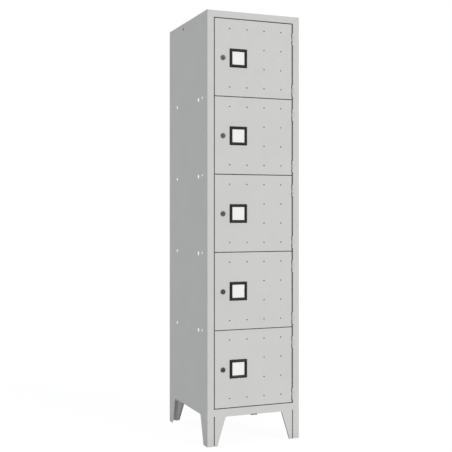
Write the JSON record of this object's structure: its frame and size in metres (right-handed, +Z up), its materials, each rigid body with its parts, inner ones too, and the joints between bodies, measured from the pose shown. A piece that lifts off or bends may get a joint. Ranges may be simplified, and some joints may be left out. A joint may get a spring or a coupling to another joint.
{
  "type": "five-door compartment locker",
  "caption": "Tall single-column steel locker on tapered legs, with lockable right-hung vented doors over shelved compartments.",
  "frame": {"origin": "on the floor, under the middle of the box that holds the whole locker", "axes": "+Z up, +X to the right of a person facing the doors, +Y from the doors towards the back"},
  "size_m": [0.42, 0.5042, 1.8],
  "materials": {
    "grey_paint": "light grey powder coat, satin, very fine texture",
    "grey_primer": "mid grey primer, matt",
    "zinc_plate": "bright zinc plating",
    "lock_metal": "dark satin die-cast zinc",
    "black_plastic": "black moulded plastic, semi-gloss",
    "white_card": "plain white card"
  },
  "bodies": {
    "carcass": {"left_side_panel": "grey_paint", "right_side_panel": "grey_paint", "back_panel": "grey_paint", "top_panel": "grey_paint", "plinth_rail": "grey_paint", "floor_channel": "grey_primer", "floor_panel": "grey_paint", "shelf_1": "grey_paint", "shelf_2": "grey_paint", "shelf_3": "grey_paint", "shelf_4": "grey_paint", "door_1_hinge_pin_upper": "zinc_plate", "door_1_hinge_pin_lower": "zinc_plate", "door_2_hinge_pin_upper": "zinc_plate", "door_2_hinge_pin_lower": "zinc_plate", "door_3_hinge_pin_upper": "zinc_plate", "door_3_hinge_pin_lower": "zinc_plate", "door_4_hinge_pin_upper": "zinc_plate", "door_4_hinge_pin_lower": "zinc_plate", "door_5_hinge_pin_upper": "zinc_plate", "door_5_hinge_pin_lower": "zinc_plate"},
    "door_1": {"door_1_panel": "grey_paint", "door_1_lock_body": "lock_metal", "door_1_lock_nut": "zinc_plate", "door_1_label_frame": "black_plastic", "door_1_label_card": "white_card"},
    "lock_1": {"door_1_lock_plug": "lock_metal", "door_1_lock_cam": "zinc_plate"},
    "door_2": {"door_2_panel": "grey_paint", "door_2_lock_body": "lock_metal", "door_2_lock_nut": "zinc_plate", "door_2_label_frame": "black_plastic", "door_2_label_card": "white_card"},
    "lock_2": {"door_2_lock_plug": "lock_metal", "door_2_lock_cam": "zinc_plate"},
    "door_3": {"door_3_panel": "grey_paint", "door_3_lock_body": "lock_metal", "door_3_lock_nut": "zinc_plate", "door_3_label_frame": "black_plastic", "door_3_label_card": "white_card"},
    "lock_3": {"door_3_lock_plug": "lock_metal", "door_3_lock_cam": "zinc_plate"},
    "door_4": {"door_4_panel": "grey_paint", "door_4_lock_body": "lock_metal", "door_4_lock_nut": "zinc_plate", "door_4_label_frame": "black_plastic", "door_4_label_card": "white_card"},
    "lock_4": {"door_4_lock_plug": "lock_metal", "door_4_lock_cam": "zinc_plate"},
    "door_5": {"door_5_panel": "grey_paint", "door_5_lock_body": "lock_metal", "door_5_lock_nut": "zinc_plate", "door_5_label_frame": "black_plastic", "door_5_label_card": "white_card"},
    "lock_5": {"door_5_lock_plug": "lock_metal", "door_5_lock_cam": "zinc_plate"}
  },
  "joints": [
    {"name": "door_1_swing", "type": "hinge", "parent": "carcass", "child": "door_1", "pos_m": [0.181, -0.2447, 1.608], "axis": [0, 0, 1], "range_deg": [0, 110]},
    {"name": "lock_1_turn", "type": "hinge", "parent": "door_1", "child": "lock_1", "pos_m": [-0.1402, -0.2479, 1.606], "axis": [0, 1, 0], "range_deg": [0, 90]},
    {"name": "door_2_swing", "type": "hinge", "parent": "carcass", "child": "door_2", "pos_m": [0.181, -0.2447, 1.285], "axis": [0, 0, 1], "range_deg": [0, 110]},
    {"name": "lock_2_turn", "type": "hinge", "parent": "door_2", "child": "lock_2", "pos_m": [-0.1402, -0.2479, 1.283], "axis": [0, 1, 0], "range_deg": [0, 90]},
    {"name": "door_3_swing", "type": "hinge", "parent": "carcass", "child": "door_3", "pos_m": [0.181, -0.2447, 0.962], "axis": [0, 0, 1], "range_deg": [0, 110]},
    {"name": "lock_3_turn", "type": "hinge", "parent": "door_3", "child": "lock_3", "pos_m": [-0.1402, -0.2479, 0.96], "axis": [0, 1, 0], "range_deg": [0, 90]},
    {"name": "door_4_swing", "type": "hinge", "parent": "carcass", "child": "door_4", "pos_m": [0.181, -0.2447, 0.639], "axis": [0, 0, 1], "range_deg": [0, 110]},
    {"name": "lock_4_turn", "type": "hinge", "parent": "door_4", "child": "lock_4", "pos_m": [-0.1402, -0.2479, 0.637], "axis": [0, 1, 0], "range_deg": [0, 90]},
    {"name": "door_5_swing", "type": "hinge", "parent": "carcass", "child": "door_5", "pos_m": [0.181, -0.2447, 0.316], "axis": [0, 0, 1], "range_deg": [0, 110]},
    {"name": "lock_5_turn", "type": "hinge", "parent": "door_5", "child": "lock_5", "pos_m": [-0.1402, -0.2479, 0.314], "axis": [0, 1, 0], "range_deg": [0, 90]}
  ]
}
